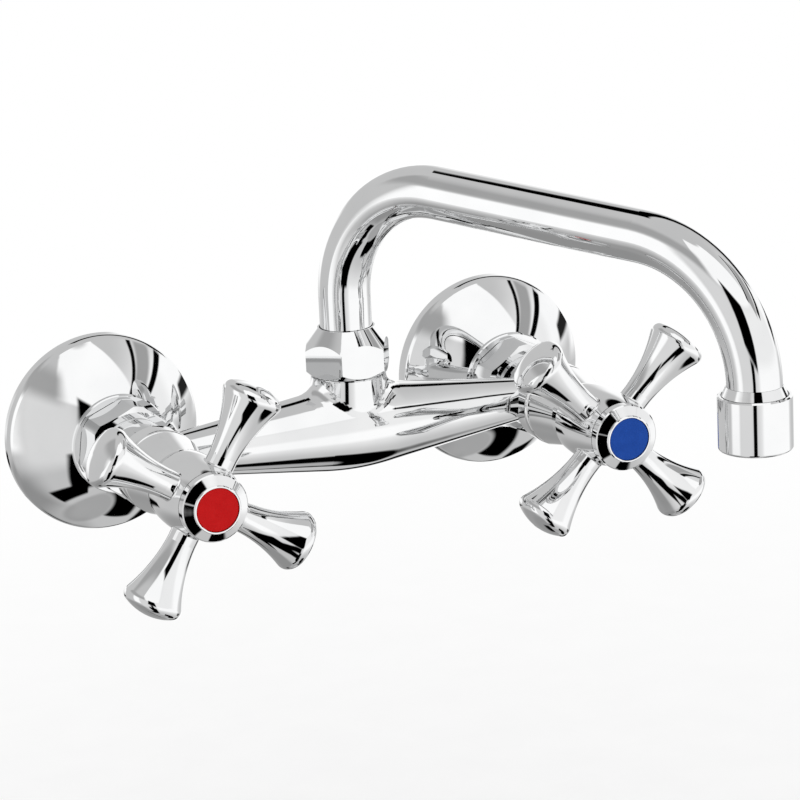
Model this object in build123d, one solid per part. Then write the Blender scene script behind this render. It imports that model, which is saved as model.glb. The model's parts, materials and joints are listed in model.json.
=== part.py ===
from build123d import *

import os
from math import cos, pi, radians, sin

os.makedirs("parts", exist_ok=True)

# Two handle wall faucet, in millimetres.
# Frame: the finished wall is the plane y = 0 and the room is at y < 0. +Z is up, +X is towards the
# cold side. The origin is midway between the axes of the two wall threads.
# Depths called *_depth are distances from the wall along a valve axis.
# Heights called *_height are measured from the valve axes, along +Z.

# ---------------------------------------------------------------- overall layout
inlet_centres = 150.0       # between the two valve axes, and between the two wall threads
union_offset = 8.0          # valve axes above the wall threads
riser_depth = 48.5          # swivel axis and bridge axis, from the wall
bridge_rise = 1.0           # bridge axis above the valve axes
spout_rest_angle = 28.5     # spout turned towards the cold side, from straight out
running_clearance = 0.05    # radial, on turning and sliding fits
thread_clearance = 0.05     # radial, between a male and a female thread
axial_play = 0.2            # between faces that turn past each other
loose_gap = 0.1             # radial, between still parts that only lie inside one another
screw_gap = 0.03            # radial, on the small screws
groove_play = 0.05          # each side of a clip in its groove
edge_break = 0.4            # bevel on a turned edge that a hand may touch
cut_margin = 1.0            # how far a cutter stands out of what it cuts

# ---------------------------------------------------------------- wall side
pipe_thread_radius = 10.48      # G1/2 male thread
union_thread_radius = 13.22     # G3/4 male thread
wall_stub_length = 18.0         # G1/2 thread behind the finished wall
union_step_depth = 3.0          # back of the offset step
union_step_thickness = 6.0
union_shoulder_radius = 12.0    # of the step, around the wall thread
union_front_depth = 27.0
union_wall_bore = 6.5
union_body_bore = 8.5
union_bore_overlap = 2.0        # the two offset bores run into each other by this much

plate_radius = 35.0             # escutcheon
plate_depth = 22.0
plate_wall = 1.1
plate_side_height = 4.0         # straight part of the rim
plate_rim_round = 5.0           # between rim and dome
plate_neck_radius = 17.5
plate_neck_length = 2.2
plate_neck_step = 0.6           # the dome meets the wall of the neck ring this far inside it
plate_crown_thinning = 0.6      # share of the wall left over the dome's top
plate_bulge = 1.0               # how far the dome stands out from a straight cone

gasket_thickness = 2.0
nut_flats = 30.0                # coupling nut, across flats
nut_corner_radius = 16.4        # its corners are turned down to this
hot_nut_turn = 22.0             # one flat's direction, as each nut happened to tighten
cold_nut_turn = 35.0
nut_gap = 0.3                   # nut's back face in front of the escutcheon
nut_lip_thickness = 3.7
nut_bevel = 0.9
nut_tail_gap = 0.3              # radial, nut's lip around the tail
gasket_inset = 0.6              # inlet gasket inside the nut's thread
ring_width = 1.4                # split ring in the body's tail
ring_depth = 1.0                # how far the ring sits in its groove
ring_height = 1.4               # how far it stands out of the tail
ring_side_play = 0.1
ring_back_wall = 1.4            # tail left behind the groove
ring_split_angle = 24.0

# ---------------------------------------------------------------- body
tail_radius = 10.4
tail_bore = 7.5
barrel_back_depth = 36.5
barrel_radius = 12.4
collar_radius = 14.4
collar_back_depth = 55.0
collar_front_depth = 62.5
barrel_bevel = 0.8
collar_round = 1.6
seat_wall_depth = 41.5
seat_depth = 44.0               # floor of the valve chamber
seat_lip_height = 0.8
seat_hole_radius = 5.0
seat_lip_width = 1.2
chamber_radius = 8.8
bonnet_thread_depth = 53.0      # inner end of the female thread
bridge_end_radius = 7.0
bridge_shoulder = 12.0          # half length of the rounded middle
bridge_bore = 4.6
neck_radius = 13.0
bridge_over_neck = 1.25         # the bridge's rounded middle is this much larger than the neck
neck_thread_radius = 11.95
neck_thread_foot_height = 20.0
neck_top_height = 28.4
neck_bore = 10.5
neck_bore_floor_height = 9.5
neck_waterway = 6.5
neck_fillet = 6.0

# ---------------------------------------------------------------- headwork
bonnet_gasket_thickness = 0.8
bonnet_thread_relief = 0.6      # female thread left free behind the headwork
carrier_gap = 0.4               # around the carrier's plate when the valve is open
bonnet_thread_radius = 10.48
bonnet_flange_radius = 12.2
bonnet_flange_thickness = 2.6
bonnet_hex_flats = 19.0
bonnet_hex_top_depth = 70.5
bonnet_shoulder_radius = 9.6
shroud_seat_depth = 78.0
bonnet_neck_radius = 8.5
bonnet_top_depth = 81.0
guide_flats = 13.0              # hexagon that keeps the washer carrier from turning
guide_clearance = 0.1
thrust_shoulder_depth = 68.4
shroud_back_radius = 14.2
shroud_back_depth = 63.0
shroud_waist_radius = 11.5
shroud_waist_depth = 77.0
shroud_front_radius = 10.8
shroud_front_depth = 84.5
shroud_wall = 0.9
shroud_web_thickness = 1.2
shroud_lip_length = 1.4

# ---------------------------------------------------------------- spindle and washer
spindle_radius = 4.9
spindle_screw_radius = 4.4
spindle_screw_depth = 55.6      # inner end
thrust_collar_radius = 6.3
thrust_collar_thickness = 1.8
o_ring_section = 1.16
spindle_groove_width = 1.6
spindle_o_ring_depths = (72.0, 75.8)
clip_thickness = 1.0
clip_outer_radius = 6.8
clip_groove_depth = 0.7
clip_gap_angle = 40.0
spline_radius = 4.0
spline_tooth = 0.3
spline_teeth = 20
spline_back_depth = 83.2
spline_front_depth = 93.6
handle_screw_radius = 2.0
handle_screw_hole_depth = 84.5

valve_lift = 5.0                # travel of the washer from its seat
washer_gap = 0.05               # washer to seat when closed
washer_radius = 7.6
washer_thickness = 3.5
carrier_plate_radius = 8.2
carrier_plate_thickness = 2.2
carrier_top_depth = 61.0
carrier_floor = 0.9             # left over the washer screw
washer_screw_radius = 1.9
washer_screw_head_radius = 3.4
washer_screw_head_height = 1.7
washer_screw_grip = 1.1         # in the carrier's plate
washer_slot = 0.9               # width and depth

# ---------------------------------------------------------------- handle
arm_count = 4
arm_plane_depth = 98.9
arm_reach = 42.0                # tip from the valve axis
arm_dome = 3.8                  # height of the domed end
arm_rim_radius = 11.1           # where flare and dome would meet
arm_rim_round = 3.0
arm_waist_radius = 5.0
arm_waist_reach = 15.6
arm_flare_sag = 1.35            # how hollow the flare is
arm_fillet = 0.7
hot_clocking = 58.5             # first arm from +X, anticlockwise seen from the room
cold_clocking = 45.3
hub_back_depth = 82.5
hub_front_depth = 107.0
hub_back_radius = 12.9
hub_bulge_radius = 13.4
hub_front_radius = 11.5
hub_bulge_drop = 2.0            # widest place behind the middle
hub_skirt_clearance = 0.8       # around the shroud
hub_recess_length = 4.6
socket_wall = 2.5
socket_relief = 0.4             # hub's bore past the spindle's shoulder and above its end
spline_clearance = 0.04
screw_seat_depth = 97.0
screw_end_gap = 0.5             # below the handle screw, in its hole
cap_socket_radius = 9.3

cap_radius = 11.5
cap_plug_clearance = 0.05
cap_plug_back_depth = 101.0
cap_plug_wall = 1.3
cap_gap = 0.3                   # between hub and cap
cap_side_front_depth = 110.7    # front end of the straight side and its bevelled edge
cap_face_rise = 1.5             # of the conical face, from the side to the collar
cap_collar_radius = 8.15        # around the disc
cap_front_depth = 113.0
cap_floor_depth = 110.9
cap_floor_thickness = 1.4
disc_radius = 7.4
disc_front_depth = 112.75
disc_bevel = 0.25               # also on the collar
screw_head_radius = 3.7
screw_head_height = 2.6
screw_slot_width = 1.0
screw_slot_depth = 1.2

# ---------------------------------------------------------------- spout
tube_radius = 9.0
tube_wall = 1.1
tube_foot_height = 22.0
tube_end_gap = 0.3              # below the tube's foot, in the bush
riser_top_height = 48.2         # where the first bend starts
first_bend_radius = 39.5
spout_slope = 4.5               # fall of the straight run, degrees
spout_run = 81.3
second_bend_radius = 44.8
tube_end_height = 30.0
bush_radius = 10.44
bush_foot_height = 10.0
bush_bore = 7.0
bush_collar_radius = 11.6
bush_collar_thickness = 2.2
bush_ring_heights = (12.4, 17.4)
bush_ring_section = 1.8
bush_groove_width = 2.6
braze_gap = 0.05
slip_ring_thickness = 1.3
spout_nut_flats = 27.0
spout_nut_foot_height = 20.5
spout_nut_band_foot_height = 23.0
spout_nut_band_top_height = 30.0
spout_nut_top_height = 37.1
spout_nut_foot_radius = 13.0
spout_nut_top_radius = 9.9
spout_nut_clearance = 0.3       # around the tube

housing_top_height = 33.9
housing_radius = 12.1
housing_bore = 11.0
housing_height = 17.9
housing_lip_bore = 9.4
housing_lip_thickness = 1.0
housing_round = 0.9
fitting_collar_radius = 10.6
fitting_collar_rise = 3.0       # its cone, above the housing's rim
fitting_thread_length = 9.0
fitting_thread_drop = 2.0       # first thread below the housing's rim
fitting_bore = 7.9
fitting_collar_lip = 0.25       # wall left around the tube at the collar's top
outlet_clearance = 0.15         # radial, insert and screen in the housing
aerator_gasket_thickness = 1.8
insert_floor = 1.4
insert_wall = 1.6
insert_hole_radius = 0.8
insert_hole_rings = ((6, 3.0), (12, 6.0))   # number of holes, and radius of their circle
screen_thickness = 0.6
screen_pitch = 1.9
screen_hole = 1.2
screen_margin = 1.2

# ---------------------------------------------------------------- worked out once
valve_x = inlet_centres / 2
valve_z = union_offset
bridge_shoulder_radius = neck_radius + bridge_over_neck
tail_face_depth = union_front_depth + gasket_thickness
nut_back_depth = plate_depth + nut_gap
nut_front_depth = barrel_back_depth - nut_gap
ring_back_depth = tail_face_depth + ring_back_wall
bonnet_flange_back_depth = collar_front_depth + bonnet_gasket_thickness
washer_back_depth = seat_depth + seat_lip_height + washer_gap
carrier_back_depth = washer_back_depth + washer_thickness
carrier_plate_front_depth = carrier_back_depth + carrier_plate_thickness
carrier_open_depth = carrier_plate_front_depth + valve_lift
carrier_bore_depth = carrier_back_depth + washer_screw_grip + carrier_floor
bush_top_height = neck_top_height + axial_play + bush_collar_thickness
slip_ring_foot_height = bush_top_height + axial_play / 2
nut_chamber_top_height = slip_ring_foot_height + slip_ring_thickness + axial_play
riser = Location((0, -riser_depth, valve_z))


def frame_of(side):
    """Local frame of one valve: origin on the wall, Z towards the room, Y up."""
    return Plane(origin=(side * valve_x, 0, valve_z), x_dir=(1, 0, 0), z_dir=(0, -1, 0)).location


def turned(*edges):
    """Solid turned about Z from a closed outline of (radius, height) edges."""
    outline = make_face(Curve() + list(edges))
    return revolve(Plane.XZ * outline, Axis.Z)


def turned_points(*points):
    """Solid turned about Z from (radius, height) corners joined by straight lines."""
    return turned(Polyline(*points, close=True))


def ring(outer, inner, low, high):
    """Flat ring about Z between two heights."""
    return Pos(0, 0, low) * extrude(Circle(outer) - Circle(inner), high - low)


def rod(radius, low, high):
    """Round bar about Z between two heights."""
    return Pos(0, 0, low) * extrude(Circle(radius), high - low)


def hexagon_bar(flats, low, high, turn=0.0):
    """Hexagonal bar about Z; turn 0 puts a corner on X."""
    section = RegularPolygon(flats / 2, 6, major_radius=False, rotation=turn)
    return Pos(0, 0, low) * extrude(section, high - low)


def hexagon_corner(flats):
    return flats / 2 / cos(radians(30))


def wedge(angle, reach, low, high):
    """Sector centred on +X, for the gap of a split ring."""
    half = radians(angle / 2)
    tip = (reach * cos(half), reach * sin(half))
    outline = make_face(Polyline((0, 0), tip, (tip[0], -tip[1]), close=True))
    return Pos(0, 0, low) * extrude(outline, high - low)


def split_ring(outer, inner, low, high, gap_angle):
    return ring(outer, inner, low, high) - wedge(gap_angle, 2 * outer, low - cut_margin, high + cut_margin)


def save(shape, name):
    export_step(shape, f"parts/{name}.step")


# ================================================================ wall side pieces

def inlet_union():
    """Eccentric union: the wall thread is union_offset below the body thread."""
    wall_axis = Pos(0, -union_offset, 0)
    step_front = union_step_depth + union_step_thickness
    shoulder = wall_axis * Circle(union_shoulder_radius)
    step = make_hull(Circle(union_thread_radius).edges() + shoulder.edges())
    solid = Pos(0, 0, union_step_depth) * extrude(step, union_step_thickness)
    solid += wall_axis * rod(pipe_thread_radius, -wall_stub_length, union_step_depth)
    solid += rod(union_thread_radius, step_front, union_front_depth)
    middle = union_step_depth + union_step_thickness / 2
    solid -= wall_axis * rod(union_wall_bore, -wall_stub_length, middle + union_bore_overlap / 2)
    solid -= rod(union_body_bore, middle - union_bore_overlap / 2, union_front_depth)
    return solid


def escutcheon():
    """Domed wall plate with a straight rim and a short neck ring."""
    neck_back = plate_depth - plate_neck_length
    dome_foot = (plate_radius, plate_side_height)
    dome_top = (plate_neck_radius - plate_neck_step, neck_back)
    span = (dome_top[0] - dome_foot[0], dome_top[1] - dome_foot[1])
    length = (span[0] ** 2 + span[1] ** 2) ** 0.5
    outward = (span[1] / length, -span[0] / length)
    crown = (
        (dome_foot[0] + dome_top[0]) / 2 + outward[0] * plate_bulge,
        (dome_foot[1] + dome_top[1]) / 2 + outward[1] * plate_bulge,
    )
    inner_foot = (plate_radius - plate_wall, plate_side_height)
    inner_top = (dome_top[0] - plate_wall, dome_top[1] - plate_wall * plate_crown_thinning)
    inner_crown = (crown[0] - plate_wall * outward[0], crown[1] - plate_wall * outward[1])
    hole = union_thread_radius + thread_clearance
    outline = make_face(
        Curve()
        + [
            Polyline(inner_foot, (inner_foot[0], 0), (plate_radius, 0), dome_foot),
            ThreePointArc(dome_foot, crown, dome_top),
            Polyline(
                dome_top,
                (plate_neck_radius, neck_back + edge_break),
                (plate_neck_radius, plate_depth - edge_break),
                (plate_neck_radius - edge_break, plate_depth),
                (hole, plate_depth),
                (hole, inner_top[1]),
                inner_top,
            ),
            ThreePointArc(inner_top, inner_crown, inner_foot),
        ]
    )
    rim = outline.vertices().sort_by_distance(dome_foot)[0]
    return revolve(Plane.XZ * fillet(rim, plate_rim_round), Axis.Z)


def coupling_nut(turn):
    blank = hexagon_bar(nut_flats, nut_back_depth, nut_front_depth, turn)
    envelope = turned_points(
        (0, nut_back_depth),
        (nut_corner_radius - nut_bevel, nut_back_depth),
        (nut_corner_radius, nut_back_depth + nut_bevel),
        (nut_corner_radius, nut_front_depth - nut_bevel),
        (nut_corner_radius - 2 * nut_bevel, nut_front_depth),
        (0, nut_front_depth),
    )
    lip_back = nut_front_depth - nut_lip_thickness
    nut = blank & envelope
    nut -= rod(union_thread_radius + thread_clearance, nut_back_depth, lip_back)
    nut -= rod(tail_radius + nut_tail_gap, lip_back, nut_front_depth)
    return nut


def nut_ring():
    low = ring_back_depth + ring_side_play / 2
    outer = tail_radius + ring_height
    inner = tail_radius - ring_depth + thread_clearance
    return split_ring(outer, inner, low, low + ring_width, ring_split_angle)


def inlet_gasket():
    outer = union_thread_radius - gasket_inset
    return ring(outer, union_body_bore, union_front_depth, tail_face_depth)


# ================================================================ body

def barrel():
    """Outside of one valve barrel, with its tail and its front collar."""
    blend = collar_radius - barrel_radius
    blend_low = (barrel_radius, collar_back_depth - blend)
    blend_high = (collar_radius, collar_back_depth)
    round_low = (collar_radius, collar_front_depth - collar_round)
    round_high = (collar_radius - collar_round, collar_front_depth)
    return turned(
        Polyline(
            (0, tail_face_depth),
            (tail_radius, tail_face_depth),
            (tail_radius, barrel_back_depth),
            (barrel_radius - barrel_bevel, barrel_back_depth),
            (barrel_radius, barrel_back_depth + barrel_bevel),
            blend_low,
        ),
        RadiusArc(blend_low, blend_high, blend),
        Line(blend_high, round_low),
        RadiusArc(round_low, round_high, -collar_round),
        Polyline(round_high, (0, collar_front_depth), (0, tail_face_depth)),
    )


def barrel_hollow():
    """Inlet bore, seat hole, chamber and headwork thread of one barrel, and its ring groove."""
    seat_top = seat_depth + seat_lip_height
    hollow = rod(tail_bore, tail_face_depth, seat_wall_depth)
    hollow += rod(seat_hole_radius, seat_wall_depth, seat_top)
    hollow += rod(chamber_radius, seat_depth, bonnet_thread_depth)
    hollow -= ring(seat_hole_radius + seat_lip_width, seat_hole_radius, seat_depth, seat_top)
    hollow += rod(bonnet_thread_radius + thread_clearance, bonnet_thread_depth, collar_front_depth)
    groove_front = ring_back_depth + ring_width + ring_side_play
    groove_floor = tail_radius - ring_depth
    hollow += ring(tail_radius + cut_margin, groove_floor, ring_back_depth, groove_front)
    return hollow


def bridge():
    """Spindle between the barrels, about X, thickest under the neck."""
    reach = valve_x - barrel_radius / 2
    side = (reach, bridge_end_radius)
    shoulder = (bridge_shoulder, bridge_shoulder_radius)
    slope = (shoulder[0] - side[0], shoulder[1] - side[1])
    left_side = (-side[0], side[1])
    left_shoulder = (-shoulder[0], shoulder[1])
    outline = make_face(
        Curve()
        + [
            Polyline((-reach, 0), left_side, left_shoulder),
            TangentArc(left_shoulder, shoulder, tangent=(-slope[0], slope[1])),
            Polyline(shoulder, side, (reach, 0), (-reach, 0)),
        ]
    )
    return revolve(outline, Axis.X)


def faucet_body():
    bridge_axis = riser * Pos(0, 0, bridge_rise)
    casting = bridge_axis * bridge()
    casting += riser * rod(neck_radius, bridge_rise, neck_thread_foot_height)
    casting = fillet(neck_joint(casting), neck_fillet)
    for side in (-1, 1):
        casting += frame_of(side) * barrel()
    thread_root = neck_thread_foot_height - cut_margin
    casting += riser * rod(neck_thread_radius, thread_root, neck_top_height)
    for side in (-1, 1):
        casting -= frame_of(side) * barrel_hollow()
    waterway = Rot(0, 90, 0) * rod(bridge_bore, -valve_x, valve_x)
    casting -= bridge_axis * waterway
    casting -= riser * rod(neck_waterway, bridge_rise, neck_bore_floor_height)
    casting -= riser * rod(neck_bore, neck_bore_floor_height, neck_top_height)
    return casting


def neck_joint(casting):
    """Edges where the neck meets the bridge: all their corners lie on the neck's wall."""
    low = valve_z + bridge_rise
    high = valve_z + neck_thread_foot_height - cut_margin
    found = casting.edges().filter_by_position(Axis.Z, low, high)
    return [e for e in found if all(on_neck_wall(v) for v in e.vertices())]


def on_neck_wall(corner):
    reach = Vector(corner.X, corner.Y + riser_depth, 0).length
    return abs(reach - neck_radius) < 0.01


# ================================================================ headwork

def valve_bonnet():
    flange_front = bonnet_flange_back_depth + bonnet_flange_thickness
    thread_back = bonnet_thread_depth + bonnet_thread_relief
    solid = rod(bonnet_thread_radius, thread_back, bonnet_flange_back_depth)
    solid += rod(bonnet_flange_radius, bonnet_flange_back_depth, flange_front)
    solid += hexagon_bar(bonnet_hex_flats, flange_front, bonnet_hex_top_depth)
    solid += rod(bonnet_shoulder_radius, bonnet_hex_top_depth, shroud_seat_depth)
    solid += rod(bonnet_neck_radius, shroud_seat_depth, bonnet_top_depth)
    guide_top = thrust_shoulder_depth - thrust_collar_thickness - 2 * axial_play
    solid -= hexagon_bar(guide_flats + 2 * guide_clearance, bonnet_thread_depth, guide_top)
    solid -= rod(guide_flats / 2, guide_top, thrust_shoulder_depth)
    solid -= rod(spindle_radius + running_clearance, thrust_shoulder_depth, bonnet_top_depth)
    solid -= rod(carrier_plate_radius + carrier_gap, thread_back, carrier_open_depth + carrier_gap)
    return solid


def bonnet_gasket():
    inner = bonnet_thread_radius + loose_gap
    return ring(bonnet_flange_radius, inner, collar_front_depth, bonnet_flange_back_depth)


def bonnet_shroud():
    """Chromed bell over the headwork's hexagon, carried by a web on the headwork's shoulder."""
    web_front = shroud_seat_depth + shroud_web_thickness
    hole = bonnet_neck_radius + thread_clearance
    back_in = shroud_back_radius - shroud_wall
    waist_in = shroud_waist_radius - shroud_wall
    front_in = shroud_front_radius - shroud_wall
    return turned_points(
        (back_in, shroud_back_depth),
        (shroud_back_radius - edge_break, shroud_back_depth),
        (shroud_back_radius, shroud_back_depth + edge_break),
        (shroud_back_radius, shroud_back_depth + shroud_lip_length),
        (shroud_waist_radius, shroud_waist_depth),
        (shroud_front_radius, shroud_front_depth),
        (front_in, shroud_front_depth),
        (front_in, web_front),
        (hole, web_front),
        (hole, shroud_seat_depth),
        (waist_in, shroud_seat_depth),
        (waist_in, shroud_waist_depth),
    )


# ================================================================ spindle and washer

def spline_section(clearance):
    """Toothed section that drives the handle."""
    points = []
    for tooth in range(spline_teeth):
        for phase, radius in ((0.0, spline_radius), (0.5, spline_radius - spline_tooth)):
            angle = 2 * pi * (tooth + phase) / spline_teeth
            points.append(((radius + clearance) * cos(angle), (radius + clearance) * sin(angle)))
    return make_face(Polyline(*points, close=True))


def spindle():
    collar_front = thrust_shoulder_depth - axial_play
    collar_back = collar_front - thrust_collar_thickness
    clip_back = bonnet_top_depth + axial_play
    solid = rod(spindle_screw_radius, spindle_screw_depth, collar_back)
    solid += rod(thrust_collar_radius, collar_back, collar_front)
    solid += rod(spindle_radius, collar_front, spline_back_depth)
    length = spline_front_depth - spline_back_depth
    solid += Pos(0, 0, spline_back_depth) * extrude(spline_section(0), length)
    groove = spindle_radius - o_ring_section + running_clearance
    outside = spindle_radius + cut_margin
    half = spindle_groove_width / 2
    for depth in spindle_o_ring_depths:
        solid -= ring(outside, groove, depth - half, depth + half)
    clip_floor = spindle_radius - clip_groove_depth
    clip_front = clip_back + clip_thickness
    solid -= ring(outside, clip_floor, clip_back - groove_play, clip_front + groove_play)
    solid -= rod(handle_screw_radius + screw_gap, handle_screw_hole_depth, spline_front_depth)
    return solid


def o_ring(outer, section, height):
    """Round-section ring whose outside is at the given radius."""
    return Pos(0, 0, height) * Torus(outer - section / 2, section / 2)


def spindle_o_rings():
    outer = spindle_radius + running_clearance / 2
    section = o_ring_section - running_clearance
    return Compound([o_ring(outer, section, depth) for depth in spindle_o_ring_depths])


def spindle_clip():
    low = bonnet_top_depth + axial_play
    inner = spindle_radius - clip_groove_depth + groove_play
    return split_ring(clip_outer_radius, inner, low, low + clip_thickness, clip_gap_angle)


def washer_carrier():
    """Hexagonal plunger: a plate that holds the washer and a stem on the spindle's screw."""
    solid = rod(carrier_plate_radius, carrier_back_depth, carrier_plate_front_depth)
    solid += hexagon_bar(guide_flats, carrier_plate_front_depth, carrier_top_depth)
    solid -= rod(spindle_screw_radius + running_clearance, carrier_bore_depth, carrier_top_depth)
    screw_top = carrier_back_depth + washer_screw_grip
    solid -= rod(washer_screw_radius + screw_gap, carrier_back_depth, screw_top)
    return solid


def seat_washer():
    inner = washer_screw_radius + loose_gap
    return ring(washer_radius, inner, washer_back_depth, carrier_back_depth)


def washer_screw():
    head_back = washer_back_depth - washer_screw_head_height
    solid = rod(washer_screw_head_radius, head_back, washer_back_depth)
    end = carrier_back_depth + washer_screw_grip - loose_gap
    solid += rod(washer_screw_radius, washer_back_depth, end)
    slot = Box(2 * washer_screw_head_radius, washer_slot, 2 * washer_slot)
    return solid - Pos(0, 0, head_back) * slot


# ================================================================ handle

def arm():
    """One flared arm about X, from the valve axis to its domed tip."""
    waist = (arm_waist_reach, arm_waist_radius)
    rim = (arm_reach - arm_dome, arm_rim_radius)
    flare_middle = ((waist[0] + rim[0]) / 2, (waist[1] + rim[1]) / 2 - arm_flare_sag)
    outline = make_face(
        Curve()
        + [
            Line((0, 0), (0, arm_waist_radius)),
            Line((0, arm_waist_radius), waist),
            ThreePointArc(waist, flare_middle, rim),
            TangentArc((arm_reach, 0), rim, tangent=(0, 1)),
            Line((arm_reach, 0), (0, 0)),
        ]
    )
    rim_corner = outline.vertices().sort_by(Axis.Y)[-1]
    return revolve(fillet(rim_corner, arm_rim_round), Axis.X)


def hub():
    """Outside of the handle's middle."""
    bulge_depth = (hub_back_depth + hub_front_depth) / 2 - hub_bulge_drop
    back = (hub_back_radius, hub_back_depth)
    front = (hub_front_radius, hub_front_depth)
    return turned(
        Line((0, hub_back_depth), back),
        ThreePointArc(back, (hub_bulge_radius, bulge_depth), front),
        Polyline(front, (0, hub_front_depth), (0, hub_back_depth)),
    )


def hub_hollow():
    """Recess for the shroud, splined socket, screw hole and the cap's socket."""
    recess_top = hub_back_depth + hub_recess_length
    socket_outer = spline_radius + socket_wall
    socket_end = spline_front_depth + socket_relief
    spindle_room = spline_back_depth + socket_relief
    hollow = ring(shroud_front_radius + hub_skirt_clearance, socket_outer, hub_back_depth, recess_top)
    hollow += rod(socket_outer + cut_margin, hub_back_depth, spindle_room)
    socket = extrude(spline_section(spline_clearance), socket_end - hub_back_depth)
    hollow += Pos(0, 0, hub_back_depth) * socket
    hollow += rod(handle_screw_radius + loose_gap, spline_front_depth, screw_seat_depth)
    hollow += rod(cap_socket_radius, screw_seat_depth, hub_front_depth)
    return hollow


def at_arm_root(edge):
    """True for the edges where an arm leaves the hub's side."""
    place = edge.center()
    reach = Vector(place.X, place.Y, 0).length
    on_side = hub_front_radius - cut_margin < reach < hub_bulge_radius + cut_margin
    return on_side and hub_back_depth + cut_margin < place.Z < hub_front_depth - cut_margin / 2


def cross_handle(clocking):
    """Hub and four arms, hollow behind for the shroud and in front for the cap."""
    solid = hub()
    for number in range(arm_count):
        turn = Rot(0, 0, clocking + 360 * number / arm_count)
        solid += Pos(0, 0, arm_plane_depth) * turn * arm()
    solid = fillet([e for e in solid.edges() if at_arm_root(e)], arm_fillet)
    return solid - hub_hollow()


def handle_screw():
    head_top = screw_seat_depth + screw_head_height
    solid = rod(handle_screw_radius, handle_screw_hole_depth + screw_end_gap, screw_seat_depth)
    solid += rod(screw_head_radius, screw_seat_depth, head_top)
    for turn in (0, 90):
        slot = Box(1.5 * screw_head_radius, screw_slot_width, screw_slot_depth)
        solid -= Pos(0, 0, head_top - screw_slot_depth / 2) * Rot(0, 0, turn) * slot
    return solid


def handle_cap():
    """Shallow cone with a collar for the disc, and a plug that snaps into the hub."""
    plug = cap_socket_radius - cap_plug_clearance
    flange_back = hub_front_depth + cap_gap
    pocket = disc_radius + loose_gap
    floor_back = cap_floor_depth - cap_floor_thickness
    return turned_points(
        (plug - cap_plug_wall, cap_plug_back_depth),
        (plug, cap_plug_back_depth),
        (plug, flange_back),
        (cap_radius, flange_back),
        (cap_radius, cap_side_front_depth - edge_break),
        (cap_radius - edge_break, cap_side_front_depth),
        (cap_collar_radius, cap_side_front_depth + cap_face_rise),
        (cap_collar_radius, cap_front_depth - disc_bevel),
        (cap_collar_radius - disc_bevel, cap_front_depth),
        (pocket, cap_front_depth),
        (pocket, cap_floor_depth),
        (0, cap_floor_depth),
        (0, floor_back),
        (plug - cap_plug_wall, floor_back),
    )


def index_disc():
    disc = rod(disc_radius, cap_floor_depth, disc_front_depth)
    return chamfer(disc.edges().group_by(Axis.Z)[-1], disc_bevel)


# ================================================================ spout

def spout_path():
    """Centreline in its own plane: X is the reach, Y is the height."""
    foot = Line((0, tube_foot_height), (0, riser_top_height))
    first = JernArc(foot @ 1, foot % 1, first_bend_radius, -(90 + spout_slope))
    run = Line(first @ 1, first @ 1 + (first % 1) * spout_run)
    second = JernArc(run @ 1, run % 1, second_bend_radius, -(90 - spout_slope))
    tip = second @ 1
    end = Line(tip, (tip.X, tube_end_height))
    return Curve() + [foot, first, run, second, end]


def spout_frame():
    """Plane of the spout's centreline at rest."""
    angle = radians(spout_rest_angle)
    return Plane(
        origin=(0, -riser_depth, valve_z),
        x_dir=(sin(angle), -cos(angle), 0),
        z_dir=(-cos(angle), -sin(angle), 0),
    ).location


def outlet_frame():
    """Upright frame on the outlet's axis, at the height of the valve axes."""
    angle = radians(spout_rest_angle)
    reach = (spout_path() @ 1).X
    return Location((reach * sin(angle), -riser_depth - reach * cos(angle), valve_z))


def spout_tube():
    path = spout_path()
    start = Plane(origin=(0, tube_foot_height, 0), z_dir=(0, 1, 0))
    section = Circle(tube_radius) - Circle(tube_radius - tube_wall)
    return spout_frame() * sweep(start * section, path)


def spout_bush():
    """Brass foot of the spout: a collar on the neck and two seal grooves below it."""
    collar_foot = neck_top_height + axial_play
    solid = rod(bush_radius, bush_foot_height, bush_top_height)
    solid += rod(bush_collar_radius, collar_foot, bush_top_height)
    solid -= rod(bush_bore, bush_foot_height, tube_foot_height)
    solid -= rod(tube_radius + braze_gap, tube_foot_height - tube_end_gap, bush_top_height)
    groove = bush_radius - bush_ring_section + running_clearance
    for height in bush_ring_heights:
        solid -= ring(bush_radius + cut_margin, groove, height, height + bush_groove_width)
    return riser * solid


def spout_o_rings():
    outer = bush_radius + running_clearance / 2
    section = bush_ring_section - running_clearance
    middles = [height + bush_groove_width / 2 for height in bush_ring_heights]
    return Compound([riser * o_ring(outer, section, middle) for middle in middles])


def spout_slip_ring():
    top = slip_ring_foot_height + slip_ring_thickness
    return riser * ring(bush_collar_radius, tube_radius + loose_gap, slip_ring_foot_height, top)


def spout_nut():
    corner = hexagon_corner(spout_nut_flats)
    blank = hexagon_bar(spout_nut_flats, spout_nut_foot_height, spout_nut_top_height)
    envelope = turned_points(
        (0, spout_nut_foot_height),
        (spout_nut_foot_radius, spout_nut_foot_height),
        (corner, spout_nut_band_foot_height),
        (corner, spout_nut_band_top_height),
        (spout_nut_top_radius, spout_nut_top_height),
        (0, spout_nut_top_height),
    )
    nut = blank & envelope
    nut -= rod(neck_thread_radius + thread_clearance, spout_nut_foot_height, nut_chamber_top_height)
    nut -= rod(tube_radius + spout_nut_clearance, nut_chamber_top_height, spout_nut_top_height)
    return riser * nut


# ================================================================ outlet

thread_top_height = housing_top_height - fitting_thread_drop
thread_foot_height = thread_top_height - fitting_thread_length
insert_top_height = thread_foot_height - aerator_gasket_thickness
housing_foot_height = housing_top_height - housing_height
screen_foot_height = housing_foot_height + housing_lip_thickness
insert_foot_height = screen_foot_height + screen_thickness


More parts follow.
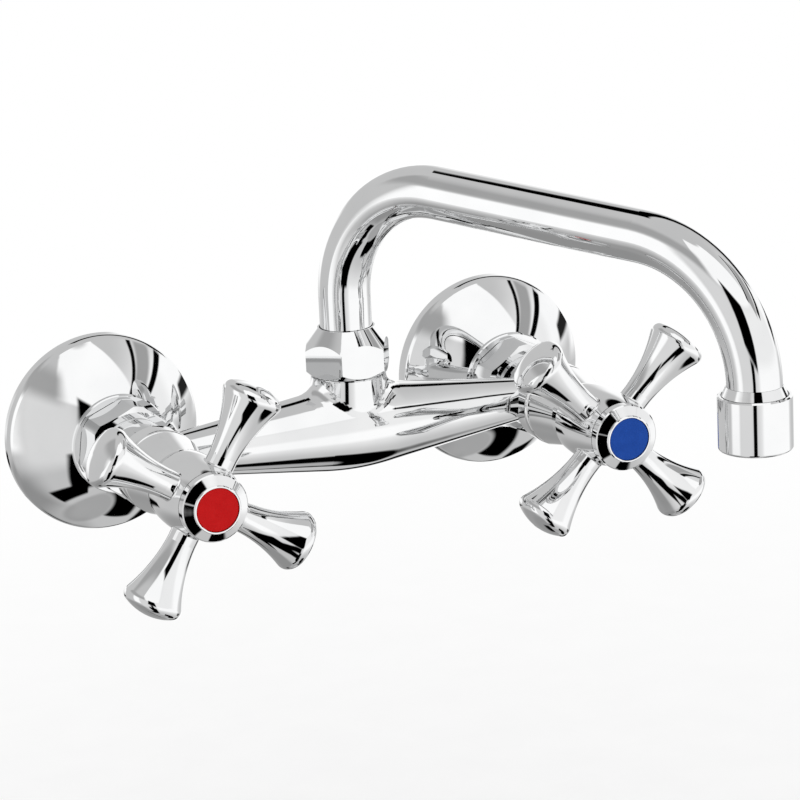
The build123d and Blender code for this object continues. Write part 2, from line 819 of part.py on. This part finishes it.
def spout_end_fitting():
    """Threaded end brazed over the tube, with a conical collar above the housing's rim."""
    collar_top = housing_top_height + fitting_collar_rise
    solid = turned_points(
        (0, thread_foot_height),
        (housing_bore - thread_clearance, thread_foot_height),
        (housing_bore - thread_clearance, thread_top_height),
        (fitting_collar_radius, thread_top_height),
        (fitting_collar_radius, housing_top_height),
        (tube_radius + fitting_collar_lip, collar_top),
        (0, collar_top),
    )
    solid -= rod(tube_radius + braze_gap, tube_end_height - loose_gap, collar_top)
    solid -= rod(fitting_bore, thread_foot_height, tube_end_height)
    return outlet_frame() * solid


def aerator_housing():
    """Chromed sleeve with an inner lip that holds the screen."""
    round_low = (housing_radius - housing_round, housing_foot_height)
    round_high = (housing_radius, housing_foot_height + housing_round)
    solid = turned(
        Line((housing_lip_bore, housing_foot_height), round_low),
        RadiusArc(round_low, round_high, -housing_round),
        Polyline(
            round_high,
            (housing_radius, housing_top_height - edge_break),
            (housing_radius - edge_break, housing_top_height),
            (housing_bore, housing_top_height),
            (housing_bore, screen_foot_height),
            (housing_lip_bore, screen_foot_height),
            (housing_lip_bore, housing_foot_height),
        ),
    )
    return outlet_frame() * solid


def aerator_gasket():
    outer = housing_bore - outlet_clearance
    return outlet_frame() * ring(outer, fitting_bore, insert_top_height, thread_foot_height)


def aerator_insert():
    """Plastic cup with rings of small holes in its floor."""
    outer = housing_bore - outlet_clearance
    inner = outer - insert_wall
    solid = rod(outer, insert_foot_height, insert_top_height)
    solid -= rod(inner, insert_foot_height, insert_top_height - insert_floor)
    for count, radius in insert_hole_rings:
        for place in PolarLocations(radius, count):
            solid -= place * rod(insert_hole_radius, insert_foot_height, insert_top_height)
    return outlet_frame() * solid


def aerator_screen():
    """Outlet grid: a thin disc with square holes."""
    outer = housing_bore - outlet_clearance
    solid = rod(outer, screen_foot_height, insert_foot_height)
    rows = int(housing_lip_bore / screen_pitch)
    half = screen_hole / 2
    for column in range(-rows, rows + 1):
        for row in range(-rows, rows + 1):
            x, y = column * screen_pitch, row * screen_pitch
            corner = Vector(abs(x) + half, abs(y) + half, 0).length
            if corner <= housing_lip_bore - screen_margin:
                hole = Box(screen_hole, screen_hole, 2 * screen_thickness)
                solid -= Pos(x, y, screen_foot_height + screen_thickness / 2) * hole
    return outlet_frame() * solid


# ================================================================ write the pieces

VALVE_PIECES = {
    "inlet_union": inlet_union,
    "escutcheon": escutcheon,
    "nut_ring": nut_ring,
    "inlet_gasket": inlet_gasket,
    "valve_bonnet": valve_bonnet,
    "bonnet_gasket": bonnet_gasket,
    "bonnet_shroud": bonnet_shroud,
    "spindle": spindle,
    "spindle_o_rings": spindle_o_rings,
    "spindle_clip": spindle_clip,
    "washer_carrier": washer_carrier,
    "seat_washer": seat_washer,
    "washer_screw": washer_screw,
    "handle_screw": handle_screw,
    "handle_cap": handle_cap,
    "index_disc": index_disc,
}

VALVES = (
    ("hot", -1, hot_nut_turn, hot_clocking),
    ("cold", 1, cold_nut_turn, cold_clocking),
)

for water, side, nut_turn, clocking in VALVES:
    for name, make in VALVE_PIECES.items():
        save(frame_of(side) * make(), f"{water}_{name}")
    save(frame_of(side) * coupling_nut(nut_turn), f"{water}_coupling_nut")
    save(frame_of(side) * cross_handle(clocking), f"{water}_handle")

CENTRE_PIECES = (
    faucet_body,
    spout_nut,
    spout_tube,
    spout_bush,
    spout_o_rings,
    spout_slip_ring,
    spout_end_fitting,
    aerator_housing,
    aerator_gasket,
    aerator_insert,
    aerator_screen,
)

for make in CENTRE_PIECES:
    save(make(), make.__name__)
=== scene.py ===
import json
from math import cos, radians, sin

import bpy
from mathutils import Matrix, Vector

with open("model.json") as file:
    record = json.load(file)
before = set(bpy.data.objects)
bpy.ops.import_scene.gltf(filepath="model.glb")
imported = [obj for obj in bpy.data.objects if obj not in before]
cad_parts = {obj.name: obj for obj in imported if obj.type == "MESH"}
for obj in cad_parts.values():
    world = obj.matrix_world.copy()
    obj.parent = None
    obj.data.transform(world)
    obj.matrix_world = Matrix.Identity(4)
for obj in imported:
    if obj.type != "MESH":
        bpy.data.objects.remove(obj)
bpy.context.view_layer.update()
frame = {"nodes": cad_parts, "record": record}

# The photograph's frame, in pixels, and the camera fitted to it. Lengths are in metres.
PHOTO_SIZE = 800
FOCAL_PIXELS = 3676.66
PRINCIPAL_POINT = (402.31, 397.22)
CAMERA_PLACE = (-0.47378, -1.17998, 0.35484)
CAMERA_RIGHT = (0.910604, -0.410804, -0.045166)
CAMERA_UP = (0.148546, 0.223357, 0.963351)
CAMERA_AHEAD = (0.385660, 0.883941, -0.264413)
SENSOR_MM = 36.0

FLOOR_HEIGHT = -0.16
FLOOR_HALF_SIDE = 3.0
FLOOR_CENTRE = (0.0, -0.1)
FLOOR_GRAIN = 40                # cycles per metre
FLOOR_GREYS = (0.90, 0.93)
FADE_START = 0.1                # from the floor's centre, where it begins to turn white
FADE_END = 0.7
FADE_SHARES = (0.5, 1.0)        # of plain white, at the start and at the end


# ---------------------------------------------------------------- node trees

class Tree:
    """Short calls for building the node tree of a material or a world."""

    def __init__(self, owner):
        owner.use_nodes = True
        self.tree = owner.node_tree
        self.tree.nodes.clear()

    def add(self, kind, **values):
        node = self.tree.nodes.new(kind)
        for key, value in values.items():
            setattr(node, key, value)
        return node

    def feed(self, socket, value):
        """Puts a number, a colour or another socket's value into a socket."""
        if isinstance(value, bpy.types.NodeSocket):
            self.tree.links.new(value, socket)
        else:
            socket.default_value = value

    def math(self, operation, *values):
        node = self.add("ShaderNodeMath", operation=operation)
        for socket, value in zip(node.inputs, values):
            self.feed(socket, value)
        return node.outputs["Value"]

    def step(self, value, low, high, to_low=0.0, to_high=1.0):
        """Smooth step of a value from one level to another."""
        node = self.add("ShaderNodeMapRange", interpolation_type="SMOOTHSTEP")
        levels = (("From Min", low), ("From Max", high), ("To Min", to_low), ("To Max", to_high))
        self.feed(node.inputs["Value"], value)
        for name, level in levels:
            self.feed(node.inputs[name], level)
        return node.outputs["Result"]

    def ramp(self, value, stops):
        """Colour ramp with two stops, each a position and a colour."""
        node = self.add("ShaderNodeValToRGB")
        elements = node.color_ramp.elements
        for element, (position, colour) in zip(elements, stops):
            element.position = position
            element.color = (*colour, 1.0)
        self.feed(node.inputs["Fac"], value)
        return node.outputs["Color"]

    def mix_shaders(self, share, first, second):
        node = self.add("ShaderNodeMixShader")
        self.feed(node.inputs[0], share)
        self.feed(node.inputs[1], first)
        self.feed(node.inputs[2], second)
        return node.outputs["Shader"]


class Finish(Tree):
    """A principled material whose textures lie on the object's own coordinates, in metres."""

    def __init__(self, name, **values):
        self.material = bpy.data.materials.new(name)
        super().__init__(self.material)
        self.shader = self.add("ShaderNodeBsdfPrincipled")
        output = self.add("ShaderNodeOutputMaterial")
        self.feed(output.inputs["Surface"], self.shader.outputs["BSDF"])
        self.place = self.add("ShaderNodeTexCoord").outputs["Object"]
        for key, value in values.items():
            self.shader.inputs[key.replace("_", " ")].default_value = value

    def stretched(self, scale):
        node = self.add("ShaderNodeMapping")
        node.inputs["Scale"].default_value = scale
        self.feed(node.inputs["Vector"], self.place)
        return node.outputs["Vector"]

    def noise(self, scale, detail=2.0, stretch=(1, 1, 1)):
        """Noise with this many cycles per metre."""
        node = self.add("ShaderNodeTexNoise")
        node.inputs["Scale"].default_value = scale
        node.inputs["Detail"].default_value = detail
        self.feed(node.inputs["Vector"], self.stretched(stretch))
        return node.outputs["Fac"]

    def colour(self, value, dark, light, low=0.3, high=0.7):
        self.feed(self.shader.inputs["Base Color"], self.ramp(value, ((low, dark), (high, light))))

    def gloss(self, value, smooth, rough, low=0.3, high=0.7):
        self.feed(self.shader.inputs["Roughness"], self.step(value, low, high, smooth, rough))

    def bump(self, value, height):
        """Bump of this height in metres."""
        node = self.add("ShaderNodeBump")
        node.inputs["Strength"].default_value = 1.0
        node.inputs["Distance"].default_value = height
        self.feed(node.inputs["Height"], value)
        self.feed(self.shader.inputs["Normal"], node.outputs["Normal"])


# ---------------------------------------------------------------- materials

def chrome():
    """Polished plate: faint cloudiness, fine polishing haze and a very slight waviness."""
    finish = Finish("chrome_plate", Metallic=1.0)
    finish.colour(finish.noise(55, 3), (0.80, 0.805, 0.81), (0.85, 0.853, 0.855))
    finish.gloss(finish.noise(700, 3, (1, 1, 2.5)), 0.015, 0.035)
    finish.bump(finish.noise(70, 1), 0.00004)
    return finish.material


def brass():
    """Machined brass: fine tool marks and slightly uneven colour."""
    finish = Finish("machined_brass", Metallic=1.0)
    finish.colour(finish.noise(120, 3), (0.62, 0.45, 0.20), (0.76, 0.58, 0.30))
    finish.gloss(finish.noise(900, 2), 0.20, 0.36)
    finish.bump(finish.noise(2500, 1, (1, 0.1, 1)), 0.00001)
    return finish.material


def steel():
    """Plain stainless steel with a fine grain."""
    finish = Finish("stainless_steel", Metallic=1.0)
    finish.colour(finish.noise(200, 3), (0.52, 0.53, 0.54), (0.64, 0.65, 0.66))
    finish.gloss(finish.noise(1500, 2, (1, 1, 0.2)), 0.22, 0.38)
    finish.bump(finish.noise(3000, 1, (1, 1, 0.1)), 0.000008)
    return finish.material


def rubber():
    """Black sealing rubber, matt with a grey bloom."""
    finish = Finish("seal_rubber")
    finish.colour(finish.noise(300, 4), (0.015, 0.015, 0.016), (0.04, 0.04, 0.042))
    finish.gloss(finish.noise(800, 3), 0.55, 0.8)
    finish.bump(finish.noise(4000, 2), 0.00002)
    return finish.material


def fibre():
    """Pressed red fibre gasket."""
    finish = Finish("gasket_fibre")
    finish.colour(finish.noise(1200, 5, (1, 1, 0.3)), (0.30, 0.07, 0.05), (0.52, 0.15, 0.10))
    finish.gloss(finish.noise(1500, 3), 0.7, 0.95)
    finish.bump(finish.noise(3500, 4), 0.00004)
    return finish.material


def plastic(name, dark, light, smooth, rough):
    """Moulded plastic: almost even colour and a fine matt texture."""
    finish = Finish(name)
    finish.colour(finish.noise(150, 3), dark, light)
    finish.gloss(finish.noise(600, 2), smooth, rough)
    finish.bump(finish.noise(2500, 2), 0.00001)
    return finish.material


def enamel(name, dark, light):
    """Coloured disc with a slight mottle and a soft gloss."""
    finish = Finish(name, Specular_IOR_Level=0.1)
    finish.colour(finish.noise(350, 4), dark, light)
    finish.gloss(finish.noise(900, 2), 0.3, 0.45)
    finish.bump(finish.noise(500, 2), 0.00002)
    return finish.material


MATERIALS = {
    "chromed_brass": chrome(),
    "brass": brass(),
    "steel": steel(),
    "rubber": rubber(),
    "fibre": fibre(),
    "slip_plastic": plastic("slip_ring_plastic", (0.80, 0.79, 0.75), (0.88, 0.87, 0.84), 0.4, 0.55),
    "insert_plastic": plastic("insert_plastic", (0.76, 0.78, 0.79), (0.86, 0.87, 0.88), 0.3, 0.5),
    "red": enamel("red_enamel", (0.51, 0.004, 0.005), (0.55, 0.006, 0.007)),
    "blue": enamel("blue_enamel", (0.009, 0.060, 0.33), (0.012, 0.070, 0.37)),
}


def finish_nodes():
    """Gives every CAD node the material of its slot in the record."""
    for part in frame["record"]["subparts"]:
        material = MATERIALS[part["material_slot"]]
        for slot in frame["nodes"][part["node"]].material_slots:
            slot.material = material


# ---------------------------------------------------------------- studio

# What the chrome mirrors, by direction from the object. Azimuth 0 is behind it, at the wall, and 90 is
# on its +X side. The room is a base grey with panels in front of it, the later ones on top. Each row is
# azimuth, elevation, half width, half height, turn and edge softness in degrees, then brightness.
BASE_GREY = 0.62
PANELS = (
    # broad dark, grey and white areas
    (-40, -54, 62, 20, 0, 12, 0.32),
    (-124, 4, 22, 38, 0, 9, 0.80),
    (-30, -34, 50, 8, 0, 8, 0.36),
    (140, 4, 58, 42, 0, 20, 1.00),
    (135, -13, 50, 12, 0, 5, 1.15),
    (179, 56, 51, 22, 0, 2, 1.15),
    (-89, 5, 14, 24, 0, 5, 1.18),
    (-85, 44, 50, 12, 0, 7, 0.42),
    (60, 12, 34, 15, 0, 6, 1.15),
    (22, -3, 44, 9, 0, 4, 1.15),
    (35, -28, 16, 10, 0, 4, 1.15),
    (108, 35, 22, 6, -14, 2, 0.40),
    # dark strips, which draw the sharp lines in the chrome
    (111, 43, 24, 1.8, -18, 0.8, 0.0),
    (100, 25, 18, 2.6, -8, 0.8, 0.0),
    (38, 42, 44, 7, -26, 1.5, 0.0),
    (72, 2, 9, 4, 0, 1.5, 0.02),
    (-5, -20, 15, 2, 0, 1, 0.0),
    (-15, -60, 16, 4, 0, 2, 0.0),
    (38, -47, 18, 5.5, 0, 1.5, 0.0),
    (74, -34, 11, 7, 0, 2, 0.10),
    (105, -67, 55, 9, 0, 2, 0.0),
    (-146, -44, 17, 22, 6, 2, 0.0),
    (-125, -65, 22, 7, 0, 1.5, 0.0),
    (-151, -14, 5.5, 12, 4, 1.5, 0.0),
    (-160, 18, 16, 20, 14, 2, 0.0),
)
NADIR_EDGE = -77                # elevation where a darker patch straight below begins
NADIR_SOFTNESS = 2
NADIR_GREY = 0.7                # share of the brightness left in it


def studio_world():
    """Plain white to camera and diffuse rays; the grey, panels and strips to all others."""
    world = bpy.data.worlds.new("studio")
    t = Tree(world)
    way = t.add("ShaderNodeSeparateXYZ")
    t.feed(way.inputs[0], t.add("ShaderNodeTexCoord").outputs["Generated"])
    x, y, z = way.outputs
    azimuth = t.math("DEGREES", t.math("ARCTAN2", x, y))
    elevation = t.math("DEGREES", t.math("ARCSINE", z))
    level = BASE_GREY
    for az, el, half_width, half_height, turn, edge, brightness in PANELS:
        across = t.math("WRAP", t.math("SUBTRACT", azimuth, az), 180.0, -180.0)
        up = t.math("SUBTRACT", elevation, el)
        cosine, sine = cos(radians(turn)), sin(radians(turn))
        u = t.math("ADD", t.math("MULTIPLY", across, cosine), t.math("MULTIPLY", up, sine))
        v = t.math("SUBTRACT", t.math("MULTIPLY", up, cosine), t.math("MULTIPLY", across, sine))
        inside_u = t.step(t.math("ABSOLUTE", u), half_width - edge, half_width + edge, 1.0, 0.0)
        inside_v = t.step(t.math("ABSOLUTE", v), half_height - edge, half_height + edge, 1.0, 0.0)
        inside = t.math("MULTIPLY", inside_u, inside_v)
        change = t.math("MULTIPLY", inside, t.math("SUBTRACT", brightness, level))
        level = t.math("ADD", level, change)
    low, high = NADIR_EDGE - NADIR_SOFTNESS, NADIR_EDGE + NADIR_SOFTNESS
    level = t.math("MULTIPLY", level, t.step(elevation, low, high, NADIR_GREY, 1.0))
    path = t.add("ShaderNodeLightPath").outputs
    plain = t.math("MAXIMUM", path["Is Camera Ray"], path["Is Diffuse Ray"])
    background = t.add("ShaderNodeBackground")
    background.inputs["Color"].default_value = (1, 1, 1, 1)
    kept = t.math("MULTIPLY", level, t.math("SUBTRACT", 1.0, plain))
    t.feed(background.inputs["Strength"], t.math("ADD", kept, plain))
    output = t.add("ShaderNodeOutputWorld")
    t.feed(output.inputs["Surface"], background.outputs["Background"])
    bpy.context.scene.world = world


def floor_material():
    """Pale floor that keeps the shadow near the object and fades into the white background."""
    material = bpy.data.materials.new("studio_floor")
    t = Tree(material)
    place = t.add("ShaderNodeTexCoord").outputs["Object"]
    grain = t.add("ShaderNodeTexNoise")
    grain.inputs["Scale"].default_value = FLOOR_GRAIN
    t.feed(grain.inputs["Vector"], place)
    dark, light = ((grey,) * 3 for grey in FLOOR_GREYS)
    paint = t.add("ShaderNodeBsdfDiffuse")
    t.feed(paint.inputs["Color"], t.ramp(grain.outputs["Fac"], ((0.3, dark), (0.7, light))))
    glow = t.add("ShaderNodeEmission")
    distance = t.add("ShaderNodeVectorMath", operation="LENGTH")
    t.feed(distance.inputs[0], place)
    seen = t.add("ShaderNodeLightPath").outputs["Is Camera Ray"]
    fade = t.step(distance.outputs["Value"], FADE_START, FADE_END, *FADE_SHARES)
    share = t.math("MULTIPLY", fade, seen)
    output = t.add("ShaderNodeOutputMaterial")
    surface = t.mix_shaders(share, paint.outputs["BSDF"], glow.outputs["Emission"])
    t.feed(output.inputs["Surface"], surface)
    return material


def add_floor():
    mesh = bpy.data.meshes.new("studio_floor")
    half = FLOOR_HALF_SIDE
    corners = [(-half, -half, 0), (half, -half, 0), (half, half, 0), (-half, half, 0)]
    mesh.from_pydata(corners, [], [(0, 1, 2, 3)])
    mesh.materials.append(floor_material())
    floor = bpy.data.objects.new("studio_floor", mesh)
    floor.location = (*FLOOR_CENTRE, FLOOR_HEIGHT)
    floor.visible_glossy = False    # the chrome mirrors the lower half of the studio instead
    bpy.context.scene.collection.objects.link(floor)


def add_camera():
    data = bpy.data.cameras.new("photo_camera")
    data.sensor_width = SENSOR_MM
    data.lens = SENSOR_MM * FOCAL_PIXELS / PHOTO_SIZE
    data.shift_x = (PHOTO_SIZE / 2 - PRINCIPAL_POINT[0]) / PHOTO_SIZE
    data.shift_y = (PRINCIPAL_POINT[1] - PHOTO_SIZE / 2) / PHOTO_SIZE
    camera = bpy.data.objects.new("photo_camera", data)
    bpy.context.scene.collection.objects.link(camera)
    columns = (Vector(CAMERA_RIGHT), Vector(CAMERA_UP), -Vector(CAMERA_AHEAD))
    turn = Matrix(columns).transposed().to_4x4()
    camera.matrix_world = Matrix.Translation(CAMERA_PLACE) @ turn
    bpy.context.scene.camera = camera


finish_nodes()
studio_world()
add_floor()
add_camera()
bpy.context.scene.view_settings.view_transform = "Standard"
